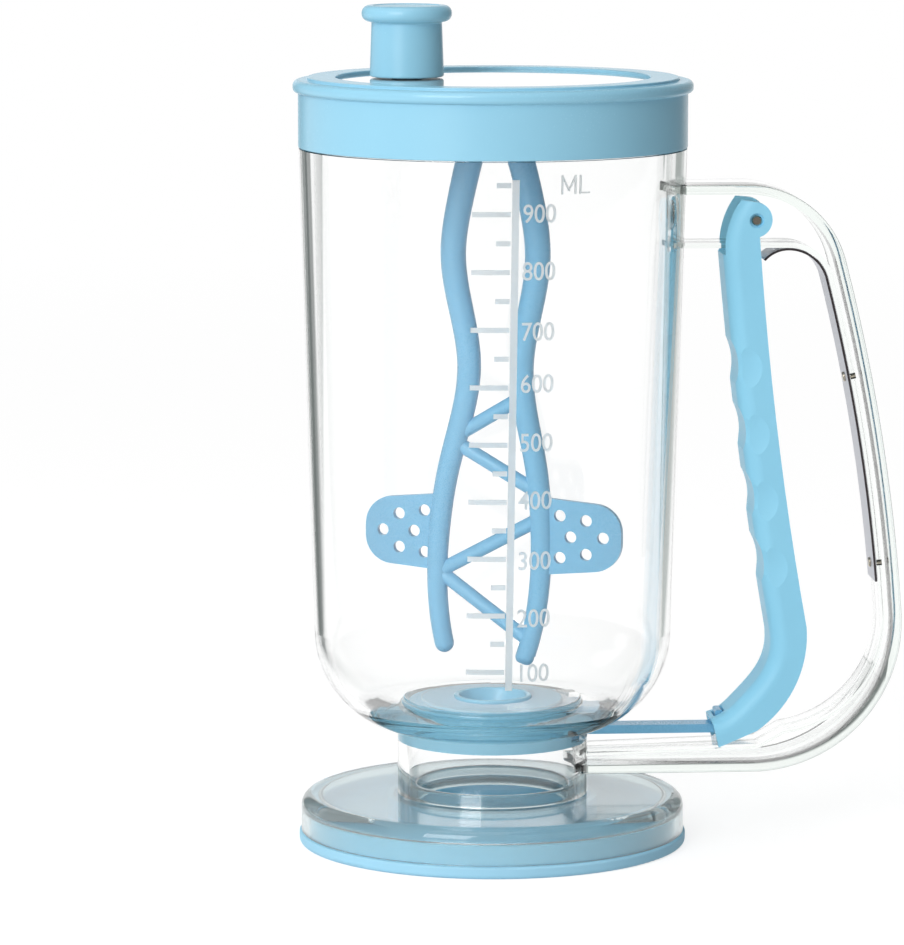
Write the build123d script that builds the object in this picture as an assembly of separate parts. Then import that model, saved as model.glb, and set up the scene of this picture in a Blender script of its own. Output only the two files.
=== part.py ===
from build123d import *
import os
from math import asin, cos, degrees, radians, sin, sqrt

# Hand-cranked batter mixer and dispenser: a clear jar with a squeeze-lever shutter under its
# outlet, a lid that carries a crank and stirrer, and a round drip stand.
# Millimetres, +Z up. The origin is on the jar's axis at the table. The handle is on +X.

# ---------------------------------------------------------------- driving dimensions
running_gap = 0.3            # between pieces of different bodies that pass each other
fit_gap = 0.06               # radial clearance of a pin or spindle that turns in a bore
bond_gap = 0.05              # glue line between pieces that are bonded or snapped together

# stand
pan_radius = 48.8
pan_wall = 2.6
pan_floor = 1.8
pan_band = 5.4               # height of the pan's outer wall above the foot ring
foot_height = 3.2
foot_width = 7.0
foot_lip = 0.5               # how far the foot ring stands out past the cover
foot_tongue = 1.2            # height and width of the rib that keys the foot into the pan
foot_key_inset = 2.0         # from the pan's wall in to the rib
cover_height = 4.4           # clear band that shows above the pan
cover_wall = 2.0
cover_skirt = 2.1            # the cover's outer wall, which stands round the pan
cover_fit = 0.1              # play between the pan and the cover that snaps over it
cover_edge_radius = 3.2
spigot_height = 3.0          # upstand that centres the jar's collar
pan_ring_radius = 28.0       # inner ring that carries the middle of the cover
pan_ring_wall = 1.6

# jar
collar_radius = 25.3
collar_wall = 3.0
heel_radius = 27.2
heel_top = 57.2              # height where the side wall starts
jar_radius_low = 47.4
jar_radius_top = 51.1
shoulder_height = 185.2
jar_wall = 2.4               # at the heel; the wall thickens towards the neck
jar_floor = 38.4             # top of the round seat that the outlet is in
seat_radius = 23.8
seat_rise = 1.6              # the seat stands this far above the floor round it
floor_round = 7.0            # between the floor and the heel's curve
neck_step = 1.9              # neck outside radius below the jar's
neck_wall = 2.0
neck_height = 12.4

# outlet and shutter
outlet_radius = 5.6
funnel_mouth_radius = 9.0
funnel_neck_radius = 10.3    # the neck passes up through the jar's floor
funnel_neck = 2.6
funnel_proud = 0.4           # the neck's top stands above the jar's floor
funnel_body_radius = 19.0    # the body lies in a pocket under the floor
funnel_length = 6.9
seal_inner_radius = 6.7
seal_outer_radius = 8.6
seal_thickness = 1.4
shutter_top = 31.1
shutter_thickness = 2.3
shutter_width = 24.0
shutter_rear = 8.8           # plate behind the axis, away from the lever
shutter_front = 20.6         # plate ahead of the axis, towards the lever
shutter_corner = 5.0
shutter_arm_width = 6.5
guide_thickness = 1.2
guide_spout = 2.6            # lip under the guide's outlet hole
guide_spout_wall = 2.0
slot_root = 12.0             # the slot for the shutter starts here, inside the collar's bore
slot_reach = 33.0            # and leaves the jar's heel inside this radius

# handle, an I-section loop
handle_drop = 9.4            # top of the handle below the jar's shoulder
handle_rise = 6.1            # underside of the handle above the collar's foot
crown_radius = 27.0
crown_x = 66.2
grip_radius = 500.0          # the long gentle curve of the grip
palm_radius = 39.7
palm_x = 68.5
outer_flange = 2.5
outer_flange_width = 22.0
inner_flange = 1.4
inner_flange_width = 14.0
grip_depth = 5.2             # from the palm side to the finger side of the loop
handle_web = 2.6
limb_depth = 16.9            # height of the upper limb, down to the hand window
window_corner = 11.0
window_heel_radius = 29.0
dip_start_x = 77.5           # the lower limb drops here to let the shutter arm pass
dip_end_x = 70.5
dip_end_depth = 7.0          # height of the lower limb at the dip's end
dip_root_depth = 4.9         # and at the jar
flange_round = 0.7

# lever
pivot_x = 68.8
pivot_depth = 9.5            # pivot below the top of the handle
pivot_pin_radius = 1.3
pivot_boss_radius = 4.0
eye_radius = 4.1
pin_recess_radius = 1.95
pin_recess_depth = 0.9
lever_eye_front = ((-8.5, -9.3), (-4.5, 5.4))    # front top and crest, (X, Z) from the pivot
lever_eye_rear = (0.8, -4.3)                     # where the back meets the eye, from the pivot
lever_front_middle = (65.6, 76.9)                # the rest of the outline, (X, Z above the shutter)
lever_front_foot = (73.3, 25.8)
lever_hook_points = ((64.9, 6.7), (70.9, 13.7))
lever_toe_high = (58.0, 1.9)
lever_toe_low = (59.7, -5.2)
lever_heel = (69.8, -0.9)
lever_heel_middle = (78.6, 8.5)
lever_back_foot = (82.9, 26.9)
lever_back_middle = (75.0, 76.9)
lever_width = 19.0
lever_side_gap = 0.2         # between the lever's side walls and the flange that they straddle
lever_web = 2.2
web_slope = 0.7              # the hollow is the outline moved back by the web and down by this share
mouth_gap = 1.7              # the front web stops this far below the handle's upper limb
lever_front_round = 4.4
finger_count = 4
finger_drop = 39.1           # first finger's rest below the pivot
finger_pitch = 17.8
finger_radius = 15.0
finger_depth = 1.1
finger_wrap = 1.3            # how deep the finger rests cut into the front corners
dish_radius = 19.0           # round hollows that carry the finger rests on to the sides
dish_depth = 1.0
dish_inset = 1.2             # middle of a hollow behind the lever's front
rib_thickness = 1.5
rib_setback = 1.6            # ribs stop short of the open side
rib_drops = (32.3, 57.3, 82.3, 104.3)
pad_thickness = 3.0          # cross wall that the leaf spring pushes on
pad_drop = 11.7
bridge_bite = 0.2            # ribs and pad run this far into the side walls

# shutter linkage: a lug turned up at the arm's end stands in a slot in the lever's toe
lug_x = 60.4                 # middle of the lug
lug_thickness = 2.0
lug_height = 3.8             # above the shutter's arm
lug_round = 0.6
lug_headroom = 1.85
lug_slot_gap = 0.4           # play of the lug in the slot, to let the lever tilt
toe_clearance = 0.65         # between the arm and the underside of the lever's toe

# leaf spring
spring_thickness = 0.6
spring_width = 13.0
spring_gap = 0.15            # between the spring and the flange behind it
spring_end_rise = 10.5       # end of the strip above the palm curve's centre
spring_tip_radius = 8.4
spring_tip_angle = 49.0
rivet_drop = 34.9            # first rivet below the window's top
rivet_rise = 14.9            # second rivet above the palm curve's centre
rivet_radius = 0.8
rivet_head_radius = 1.3
rivet_head = 0.5
rivet_length = 2.3

# lid
skirt_proud = 0.1            # the skirt stands out past the jar's shoulder
skirt_slack = 0.5            # between the skirt and the jar's neck
skirt_height = 14.4
bead_proud = 1.4             # the bead stands out past the skirt
bead_height = 3.2
lid_deck = 2.0
plug_slack = 2.0             # between the sunk deck and the jar's neck
lid_seal_height = 1.0
seal_overhang = 1.0          # the gasket reaches this far inside the jar's neck
ring_inset = 3.8             # flat ring's edge, in from the bead
ring_width = 7.5
ring_rise = 0.8              # the flat ring stands this far above the bead
disc_drop = 0.8              # the crank disc lies this far below the ring
disc_thickness = 2.6
disc_side_gap = 0.5
bearing_wall = 2.5
bearing_length = 6.0

# crank and stirrer
spindle_radius = 6.0
spindle_flange_radius = 10.0
spindle_flange = 1.2
drive_square = 8.0
drive_length = 6.0
drive_screw_radius = 1.5
drive_screw_head = 2.2
drive_screw_head_radius = 2.7
drive_screw_reach = 3.0      # how far the screw runs on into the round spindle
screw_tip_room = 0.8         # depth left over at the end of a screw's hole
washer_thickness = 0.7
hub_radius = 8.2
hub_height = 7.0
stirrer_azimuth = -21.0
leg_radius_top = 3.6
leg_radius_foot = 2.6
stirrer_clearance = 11.8     # from the outlet's seat to the end of the longer leg
# The stirrer's heights are shares of the way from the longer leg's end, 0, to the hub, 1.
leg_left = ((-5.2, 1.021), (-9.1, 0.901), (-10.9, 0.797), (-6.5, 0.581), (-12.0, 0.379),
            (-14.7, 0.252), (-13.4, 0.022))
leg_right = ((6.2, 1.021), (10.6, 0.901), (12.3, 0.797), (8.0, 0.581), (12.0, 0.379),
             (13.4, 0.252), (9.0, 0.0))
strut_radius = 1.9
struts = ((-8.6, 0.445, 8.4, 0.521), (-9.8, 0.424, 12.6, 0.331),
          (-13.6, 0.171, 13.6, 0.281), (-13.6, 0.160, 10.4, 0.033))
blade_share = 0.2455
blade_root_u = 14.0
blade_tip_u = 35.3
blade_root_half = 10.3
blade_tip_half = 8.4
blade_thickness = 2.0
blade_round = 7.6
blade_hole_radius = 1.6
blade_holes = ((18.7, 5.6), (18.7, -5.6), (21.6, 0.0), (25.8, 4.5), (25.8, -4.5), (30.4, 0.0))

# knob
knob_azimuth = 159.0
knob_inset = 17.1            # from the disc's edge in to the knob's axis
knob_radius = 9.8
knob_neck_radius = 9.3
knob_body_height = 14.4
knob_rim_radius = 11.9
knob_rim_height = 4.4
knob_cap_radius = 8.6
knob_cap_thickness = 1.5
post_radius = 4.0
post_spigot_radius = 3.0
knob_screw_head_radius = 5.6
knob_screw_head = 2.2
knob_screw_radius = 1.5
knob_screw_length = 8.5

# ---------------------------------------------------------------- heights and radii that follow
pan_bottom = foot_height
pan_top = foot_height + pan_band
cover_top = pan_top + cover_height
cover_radius = pan_radius + cover_fit + cover_skirt
collar_bottom = cover_top + running_gap
collar_bore = collar_radius - collar_wall
rim_top = shoulder_height + neck_height
neck_radius = jar_radius_top - neck_step
neck_bore = neck_radius - neck_wall
guide_top = shutter_top - shutter_thickness - running_gap
guide_bottom = guide_top - guide_thickness
pocket_top = shutter_top + running_gap
handle_top = shoulder_height - handle_drop
handle_bottom = collar_bottom + handle_rise
window_top = handle_top - limb_depth
pivot_z = handle_top - pivot_depth
lug_top = shutter_top + lug_height
lever_gap = inner_flange_width / 2 + lever_side_gap
skirt_radius = jar_radius_top + skirt_proud
skirt_bore = neck_radius + skirt_slack
bead_radius = skirt_radius + bead_proud
ring_outer_radius = bead_radius - ring_inset
ring_inner_radius = ring_outer_radius - ring_width
disc_radius = ring_inner_radius - disc_side_gap
crank_radius = disc_radius - knob_inset
skirt_bottom = shoulder_height + running_gap
bead_bottom = skirt_bottom + skirt_height
seal_bottom = rim_top + running_gap
deck_bottom = seal_bottom + lid_seal_height
ring_top = bead_bottom + bead_height + ring_rise
disc_top = ring_top - disc_drop
disc_bottom = disc_top - disc_thickness
deck_top = disc_bottom - running_gap
bearing_bottom = deck_top - lid_deck - bearing_length
washer_top = bearing_bottom - running_gap
hub_top = washer_top - washer_thickness
hub_bottom = hub_top - hub_height
knob_bottom = disc_top + running_gap
knob_neck_z = knob_bottom + knob_body_height
knob_top = knob_neck_z + knob_rim_height
knob_shoulder = knob_top - knob_cap_thickness - 0.2


# ---------------------------------------------------------------- helpers
def turned(points, radii=0.0):
    """A solid of revolution about Z from a closed (radius, height) outline."""
    outline = FilletPolyline(*points, radius=radii, close=True)
    return revolve(Plane.XZ * make_face(outline), Axis.Z)


def side_plate(face, width):
    """A solid of the given width, centred on Y = 0, from a face drawn in (X, Z)."""
    return extrude(Plane.XZ * face, width / 2, both=True)


def rod(start, end, radius):
    """A round bar between two points."""
    path = Line(start, end)
    return extrude(Plane(origin=start, z_dir=path % 0) * Circle(radius), path.length)


def tube(outer, inner, bottom, top):
    ring = Circle(outer) - Circle(inner)
    return extrude(Plane.XY.offset(bottom) * ring, top - bottom)


def on_knob_axis(shape):
    angle = radians(knob_azimuth)
    return Pos(crank_radius * cos(angle), crank_radius * sin(angle), 0) * shape


# ---------------------------------------------------------------- stand
def stand_foot_ring():
    """Soft ring under the pan, keyed into it by a rib."""
    outer = cover_radius + foot_lip
    inner = outer - foot_width
    key_out = pan_radius - foot_key_inset
    points = [(inner, 0), (outer, 0), (outer, foot_height), (key_out, foot_height),
              (key_out, foot_height + foot_tongue), (key_out - foot_tongue, foot_height + foot_tongue),
              (key_out - foot_tongue, foot_height), (inner, foot_height)]
    return turned(points, [0.4, 1.2, 0.6, 0, 0, 0, 0, 0])


def stand_pan():
    """Drip pan: floor, outer wall and an inner ring that carries the middle of the cover."""
    wall_in = pan_radius - pan_wall
    floor_top = pan_bottom + pan_floor
    pan = turned([(0, pan_bottom), (pan_radius, pan_bottom), (pan_radius, pan_top),
                  (wall_in, pan_top), (wall_in, floor_top), (0, floor_top)],
                 [0, 0.5, 0.5, 0.5, 0.8, 0])
    pan += tube(pan_ring_radius, pan_ring_radius - pan_ring_wall, floor_top - 0.1,
                cover_top - cover_wall - bond_gap)
    key_out = pan_radius - foot_key_inset
    key = tube(key_out + bond_gap, key_out - foot_tongue - bond_gap,
               pan_bottom, pan_bottom + foot_tongue + bond_gap)
    return pan - key


def stand_cover():
    """Clear cover that the jar stands on, with the opening that the batter drips through."""
    skirt = pan_radius + cover_fit
    ledge = pan_radius - pan_wall
    under = cover_top - cover_wall
    seat = pan_top + cover_fit
    skirt_foot = foot_height + bond_gap
    spigot = collar_bore - running_gap
    hole = spigot - cover_wall
    spigot_top = collar_bottom + spigot_height
    points = [(hole, under), (ledge, under), (ledge, seat), (skirt, seat), (skirt, skirt_foot),
              (cover_radius, skirt_foot), (cover_radius, cover_top),
              (spigot, cover_top), (spigot, spigot_top), (hole, spigot_top)]
    return turned(points, [0, 1.0, 0.3, 0, 0.3, 0.3, cover_edge_radius, 0.6, 0.6, 0.6])


# ---------------------------------------------------------------- jar
def heel_z(radius, centre_r, centre_z, arc_radius):
    return centre_z - sqrt(arc_radius ** 2 - (radius - centre_r) ** 2)


def jar_outside(grow=0.0):
    """The jar's outer form as a plain solid, with its skin moved out by grow."""
    heel_r = jar_radius_low - heel_radius
    collar = collar_radius + grow
    skin = heel_radius + grow
    meet_z = heel_z(collar, heel_r, heel_top, skin)
    mid = radians(-40)
    outline = Curve() + [
        Line((0, collar_bottom), (collar, collar_bottom)),
        Line((collar, collar_bottom), (collar, meet_z)),
        ThreePointArc((collar, meet_z), (heel_r + skin * cos(mid), heel_top + skin * sin(mid)),
                      (heel_r + skin, heel_top)),
        Line((heel_r + skin, heel_top), (jar_radius_top + grow, shoulder_height)),
        Line((jar_radius_top + grow, shoulder_height), (0, shoulder_height)),
        Line((0, shoulder_height), (0, collar_bottom)),
    ]
    return revolve(Plane.XZ * make_face(outline), Axis.Z)


def jar_inside():
    """The hollow that holds the batter, up to the mouth."""
    heel_r = jar_radius_low - heel_radius
    curve = heel_radius - jar_wall
    floor_z = jar_floor - seat_rise
    floor_edge = heel_r + sqrt(curve ** 2 - (heel_top - floor_z) ** 2)
    mid = radians(-30)
    outline = Curve() + [
        Line((0, jar_floor), (seat_radius, jar_floor)),
        Line((seat_radius, jar_floor), (seat_radius, floor_z)),
        Line((seat_radius, floor_z), (floor_edge, floor_z)),
        ThreePointArc((floor_edge, floor_z), (heel_r + curve * cos(mid), heel_top + curve * sin(mid)),
                      (heel_r + curve, heel_top)),
        Line((heel_r + curve, heel_top), (neck_bore, shoulder_height)),
        Line((neck_bore, shoulder_height), (neck_bore, rim_top + 1)),
        Line((neck_bore, rim_top + 1), (0, rim_top + 1)),
        Line((0, rim_top + 1), (0, jar_floor)),
    ]
    face = make_face(outline)
    for spot, round_radius in (((floor_edge, floor_z), floor_round), ((seat_radius, floor_z), seat_rise / 2),
                               ((seat_radius, jar_floor), seat_rise / 3)):
        face = fillet(face.vertices().sort_by_distance(spot)[:1], round_radius)
    return revolve(Plane.XZ * face, Axis.Z)


def shutter_slot():
    """Slot through the collar and heel that the shutter slides out of, on the lever's side."""
    width = shutter_width + 2 * running_gap
    height = pocket_top - guide_top
    length = slot_reach - slot_root
    return Pos(slot_root + length / 2, 0, guide_top + height / 2) * Box(length, width, height)


def jar_body():
    """Clear jar with its thick outlet seat and the collar that it stands on."""
    neck = Pos(0, 0, shoulder_height) * Cylinder(neck_radius, neck_height,
                                                 align=(Align.CENTER, Align.CENTER, Align.MIN))
    jar = jar_outside() + neck - jar_inside()
    jar -= rod((0, 0, collar_bottom - 1), (0, 0, pocket_top), collar_bore)
    jar -= rod((0, 0, pocket_top - 1), (0, 0, jar_floor + 1), funnel_neck_radius + bond_gap)
    jar -= rod((0, 0, pocket_top - 1), (0, 0, jar_floor + funnel_proud - funnel_neck + bond_gap),
               funnel_body_radius + bond_gap)
    return jar - shutter_slot()


def outlet_funnel():
    """Insert, bonded into the jar's floor from below, that leads the batter to the outlet."""
    top = jar_floor + funnel_proud
    body_top = top - funnel_neck
    bottom = top - funnel_length
    groove_top = shutter_top + running_gap + seal_thickness
    outline = [(outlet_radius, bottom), (funnel_body_radius, bottom), (funnel_body_radius, body_top),
               (funnel_neck_radius, body_top), (funnel_neck_radius, top), (funnel_mouth_radius, top)]
    funnel = turned(outline, [0.3, 0.4, 0.4, 0, 0.4, 0.6])
    return funnel - tube(seal_outer_radius + bond_gap, seal_inner_radius - bond_gap, bottom - 1,
                         groove_top + bond_gap)


def outlet_seal():
    """Soft ring in the funnel's groove that the shutter wipes along."""
    bottom = shutter_top + running_gap
    return turned([(seal_inner_radius, bottom), (seal_outer_radius, bottom),
                   (seal_outer_radius, bottom + seal_thickness),
                   (seal_inner_radius, bottom + seal_thickness)], 0.3)


def shutter_guide():
    """Ring snapped into the collar that carries the shutter on two side rails."""
    outer = collar_bore - bond_gap
    guide = tube(outer, outlet_radius + 1, guide_bottom, pocket_top - bond_gap)
    channel_half = shutter_width / 2 + running_gap
    channel_rear = shutter_rear + running_gap
    length = outer + channel_rear
    height = pocket_top - guide_top + 1
    channel = Pos(length / 2 - channel_rear, 0, guide_top + height / 2) * Box(length, 2 * channel_half, height)
    channel = fillet(channel.edges().filter_by(Axis.Z).sort_by(Axis.X)[:2], shutter_corner)
    guide -= channel
    lip = tube(outlet_radius + 1 + guide_spout_wall, outlet_radius + 1,
               guide_bottom - guide_spout, guide_bottom + 0.2)
    return guide + lip


# ---------------------------------------------------------------- handle
def big_arc_centre():
    """Centre of the long grip curve, which is tangent to the crown and to the palm curve."""
    crown = Vector(crown_x, handle_top - crown_radius)
    palm = Vector(palm_x, handle_bottom + palm_radius)
    to_crown = grip_radius - crown_radius
    to_palm = grip_radius - palm_radius
    span = (crown - palm).length
    along = (to_palm ** 2 - to_crown ** 2 + span ** 2) / (2 * span)
    away = sqrt(to_palm ** 2 - along ** 2)
    axis = (crown - palm).normalized()
    left = Vector(-axis.Y, axis.X)
    return palm + axis * along + left * away


def loop_face(crown, crown_r, palm, palm_r, lower_points):
    """Closed face of the loop: top line, crown arc, grip arc, palm arc and a lower line."""
    big = big_arc_centre()
    big_r = (palm - big).length + palm_r
    crown_angle = degrees(asin((crown.Y - big.Y) / (crown - big).length))
    palm_angle = degrees(asin((palm.Y - big.Y) / (palm - big).length))
    last_angle = 270.0
    if lower_points[0][0] > palm.X:
        last_angle = 360.0 - degrees(asin(sqrt(1 - ((lower_points[0][0] - palm.X) / palm_r) ** 2)))
    crown_arc = CenterArc((crown.X, crown.Y), crown_r, 90, crown_angle - 90)
    grip_arc = CenterArc((big.X, big.Y), big_r, crown_angle, palm_angle - crown_angle)
    palm_arc = CenterArc((palm.X, palm.Y), palm_r, palm_angle, last_angle - 360 - palm_angle)
    top_z = crown.Y + crown_r
    root = (0, top_z)
    lower = Polyline(palm_arc @ 1, *lower_points[1:], root)
    outline = Curve() + [Line(root, crown_arc @ 0), crown_arc, grip_arc, palm_arc, lower]
    return make_face(outline)


def handle_outer_face(inset):
    """Region inside the palm side of the handle, with its edge moved in by inset."""
    crown = Vector(crown_x, handle_top - crown_radius)
    palm = Vector(palm_x, handle_bottom + palm_radius)
    lower = [(palm_x, handle_bottom + inset), (0, handle_bottom + inset)]
    return loop_face(crown, crown_radius - inset, palm, palm_radius - inset, lower)


def inside_grip(height, inset):
    """Point at a height that lies inset from the grip's finger side."""
    big = big_arc_centre()
    reach = grip_radius - grip_depth - inset
    return Vector(big.X + sqrt(reach ** 2 - (height - big.Y) ** 2), height)


def window_face(grow):
    """Region of the hand window, with its edge moved out by grow."""
    corner = inside_grip(window_top - window_corner, window_corner)
    heel = inside_grip(handle_bottom + palm_radius, window_heel_radius)
    heel_r = window_heel_radius + grow
    dip_start = (dip_start_x, heel.Y - sqrt(heel_r ** 2 - (dip_start_x - heel.X) ** 2))
    dip_end_z = handle_bottom + dip_end_depth - grow
    dip_root_z = handle_bottom + dip_root_depth - grow
    lower = [dip_start, (dip_end_x, dip_end_z), (0, dip_root_z)]
    return loop_face(corner, window_corner + grow, heel, heel_r, lower)


def handle_frame():
    """Clear I-section handle: wide palm flange, narrow finger flange and a thin web."""
    outer = handle_outer_face(0)
    handle = side_plate(outer - window_face(0), handle_web)
    palm_flange = side_plate(outer, outer_flange_width)
    by_side = palm_flange.edges().group_by(Axis.Y)
    palm_flange = fillet(by_side[0] + by_side[-1], flange_round)
    palm_flange -= side_plate(handle_outer_face(outer_flange), outer_flange_width + 1)
    finger_flange = side_plate(window_face(inner_flange) - window_face(0), inner_flange_width)
    boss = rod((pivot_x, -inner_flange_width / 2, pivot_z), (pivot_x, inner_flange_width / 2, pivot_z),
               pivot_boss_radius)
    handle = handle + palm_flange + finger_flange + boss
    handle -= jar_outside(bond_gap)
    handle -= rod((pivot_x, -lever_width, pivot_z), (pivot_x, lever_width, pivot_z), pivot_pin_radius)
    for place in rivet_places():
        handle -= place * rivet_blank(rivet_radius)
    return handle


# ---------------------------------------------------------------- leaf spring and its rivets
def rivet_places():
    """Frames on the finger side of the handle, each with Z pointing into the flange."""
    big = big_arc_centre()
    reach = grip_radius - grip_depth
    places = []
    for height in (window_top - rivet_drop, handle_bottom + palm_radius + rivet_rise):
        point = inside_grip(height, 0)
        angle = asin((height - big.Y) / reach)
        places.append(Plane(origin=(point.X, 0, height), x_dir=(0, 1, 0),
                            z_dir=(cos(angle), 0, sin(angle))).location)
    return places


def rivet_blank(radius):
    depth = rivet_length - spring_thickness - spring_gap
    return extrude(Plane.XY.offset(depth) * Circle(radius), -rivet_length - bond_gap)


def spring_rivets():
    """Two rivets that pin the leaf spring to the handle."""
    head_z = -(spring_gap + spring_thickness + bond_gap)
    head = extrude(Plane.XY.offset(head_z) * Circle(rivet_head_radius), -rivet_head)
    head = fillet(head.edges().sort_by(Axis.Z)[:1], rivet_head * 0.7)
    return Compound(children=[place * (rivet_blank(rivet_radius) + head) for place in rivet_places()])


def leaf_spring():
    """Bent steel strip along the finger side; its free end pushes on the lever."""
    band = window_face(-spring_gap) - window_face(-spring_gap - spring_thickness)
    corner_x = inside_grip(window_top - window_corner, window_corner).X
    end_z = handle_bottom + palm_radius + spring_end_rise
    keep = Pos(corner_x, end_z) * Rectangle(grip_radius, window_top - end_z, align=Align.MIN)
    band = band & keep
    top_z = window_top - spring_gap
    outer_r = spring_tip_radius + spring_thickness / 2
    inner_r = spring_tip_radius - spring_thickness / 2
    centre = (corner_x, top_z - outer_r)
    tip = Circle(outer_r) - Circle(inner_r)
    wedge = make_face(Polyline((0, 0), (0, 2 * outer_r),
                               (-2 * outer_r * sin(radians(spring_tip_angle)),
                                2 * outer_r * cos(radians(spring_tip_angle))), close=True))
    tip = Pos(*centre) * (tip & wedge)
    spring = side_plate(band, spring_width) + side_plate(tip, spring_width)
    for place in rivet_places():
        spring -= place * rivet_blank(rivet_radius)
    return spring


# ---------------------------------------------------------------- squeeze lever
def above_shutter(*points):
    """Points of the lever's outline that are given from the shutter's top."""
    return [(x, shutter_top + z) for x, z in points]


def about_pivot(*points):
    """Points of the lever's outline that are given from the pivot."""
    return [(pivot_x + x, pivot_z + z) for x, z in points]


def lever_front_curves():
    """Front edge of the lever's side outline, as foot hook, long front and brow over the eye."""
    top, crest = about_pivot(*lever_eye_front)
    foot, middle, toe = above_shutter(lever_front_foot, lever_front_middle, lever_toe_high)
    front = ThreePointArc(foot, middle, top)
    hook = Spline(toe, *above_shutter(*lever_hook_points), foot, tangents=[(1, 0.25), front % 0])
    brow = TangentArc(top, crest, tangent=front % 1)
    return hook, front, brow


def lever_profile():
    """Side outline of the lever: rounded eye at the top, hooked foot at the bottom."""
    hook, front, brow = lever_front_curves()
    eye_top, eye_side, back_top = about_pivot((-0.3, eye_radius + 0.8), (eye_radius, 0), lever_eye_rear)
    back_middle, back_foot, heel_middle, heel, toe = above_shutter(
        lever_back_middle, lever_back_foot, lever_heel_middle, lever_heel, lever_toe_low)
    outline = Curve() + [
        hook, front, brow,
        Line(brow @ 1, eye_top),
        ThreePointArc(eye_top, eye_side, back_top),
        ThreePointArc(back_top, back_middle, back_foot),
        ThreePointArc(back_foot, heel_middle, heel),
        Line(heel, toe),
        Line(toe, hook @ 0),
    ]
    return make_face(outline)


def finger_cutters():
    """Shallow rests for four fingers that wrap round the lever's front corners."""
    cutters = []
    for index in range(finger_count):
        height = pivot_z - finger_drop - index * finger_pitch
        front = lever_front_x(height)
        reach = lever_width
        centre_x = front + finger_depth - finger_radius
        cutters.append(rod((centre_x, -reach, height), (centre_x, reach, height), finger_radius))
        for side in (-1, 1):
            corner = Vector(front + 0.6, side * (lever_width / 2 - 0.6), height)
            outward = Vector(-1, side, 0).normalized()
            along = Vector(side, 1, 0).normalized()
            middle = corner + outward * (finger_radius - finger_wrap)
            cutters.append(rod(middle - along * reach, middle + along * reach, finger_radius))
            dish_y = side * (lever_width / 2 - dish_depth + dish_radius)
            cutters.append(Pos(front + dish_inset, dish_y, height) * Sphere(dish_radius))
    return cutters


def lever_front_x(height):
    """X of the lever's front face at a height."""
    front = lever_front_curves()[1]
    low, high = 0.0, 1.0
    for _ in range(20):
        middle = (low + high) / 2
        if (front @ middle).Y < height:
            low = middle
        else:
            high = middle
    return (front @ low).X


def level_strip(height, thickness):
    """Band across the lever's side outline at a height."""
    return Pos(pivot_x, height) * Rectangle(2 * lever_width, thickness)


def lever_mouth():
    """Cut above the front web that lets the lever straddle the handle's upper limb."""
    bottom = window_top - mouth_gap
    height = handle_top - bottom
    return Pos(pivot_x, 0, bottom + height / 2) * Box(2 * lever_width, 2 * lever_gap, height)


def toe_cuts():
    """Room for the shutter's arm under the toe, and the slot that its lug stands in."""
    toe_z = shutter_top + toe_clearance
    depth = 2 * shutter_thickness + toe_clearance
    under = Pos(lug_x, 0, toe_z - depth) * Box(3 * lug_thickness, 2 * lever_gap, 2 * depth)
    slot_top = lug_top + lug_headroom
    slot = Pos(lug_x, 0, slot_top / 2) * Box(lug_thickness + 2 * lug_slot_gap,
                                             shutter_arm_width + 2 * lug_slot_gap, slot_top)
    return under + slot


def squeeze_lever():
    """Blue lever, a channel open towards the handle that straddles the finger flange."""
    profile = lever_profile()
    lever = side_plate(profile, lever_width)
    lever = fillet([edge for edge in lever.edges() if is_front_edge(edge)], lever_front_round)
    for cutter in finger_cutters():
        lever -= cutter
    lever -= side_plate(Pos(lever_web, -web_slope * lever_web) * profile, 2 * lever_gap)
    lever = lever - lever_mouth() - toe_cuts()
    behind_web = lever_web - bridge_bite
    inner = profile & (Pos(behind_web, -web_slope * behind_web) * profile) & (Pos(-rib_setback, 0) * profile)
    bridges = [inner & level_strip(pivot_z - drop, rib_thickness) for drop in rib_drops]
    pad_z = pivot_z - pad_drop - pad_thickness / 2
    bridges.append((Pos(behind_web, 0) * profile) & profile & level_strip(pad_z, pad_thickness))
    for bridge in bridges:
        lever += side_plate(bridge, 2 * (lever_gap + bridge_bite))
    bore = pivot_pin_radius + fit_gap
    half = lever_width / 2
    lever -= rod((pivot_x, -half - 1, pivot_z), (pivot_x, half + 1, pivot_z), bore)
    for side in (-1, 1):
        lever -= rod((pivot_x, side * (half - pin_recess_depth), pivot_z),
                     (pivot_x, side * (half + 1), pivot_z), pin_recess_radius)
    return lever


def is_front_edge(edge):
    """True for the edges that run along the lever's front outline on its two sides."""
    middle = edge @ 0.5
    if abs(abs(middle.Y) - lever_width / 2) > 0.01:
        return False
    spots = [curve @ 0.5 for curve in lever_front_curves()]
    return any((Vector(middle.X, middle.Z) - spot).length < 0.05 for spot in spots)


def lever_pivot_pin():
    """Steel pin pressed into the handle's boss; the lever's ears turn on its ends."""
    half = lever_width / 2 - 0.3
    pin = rod((pivot_x, -half, pivot_z), (pivot_x, half, pivot_z), pivot_pin_radius)
    return chamfer(pin.edges().filter_by(GeomType.CIRCLE), 0.25)


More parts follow.
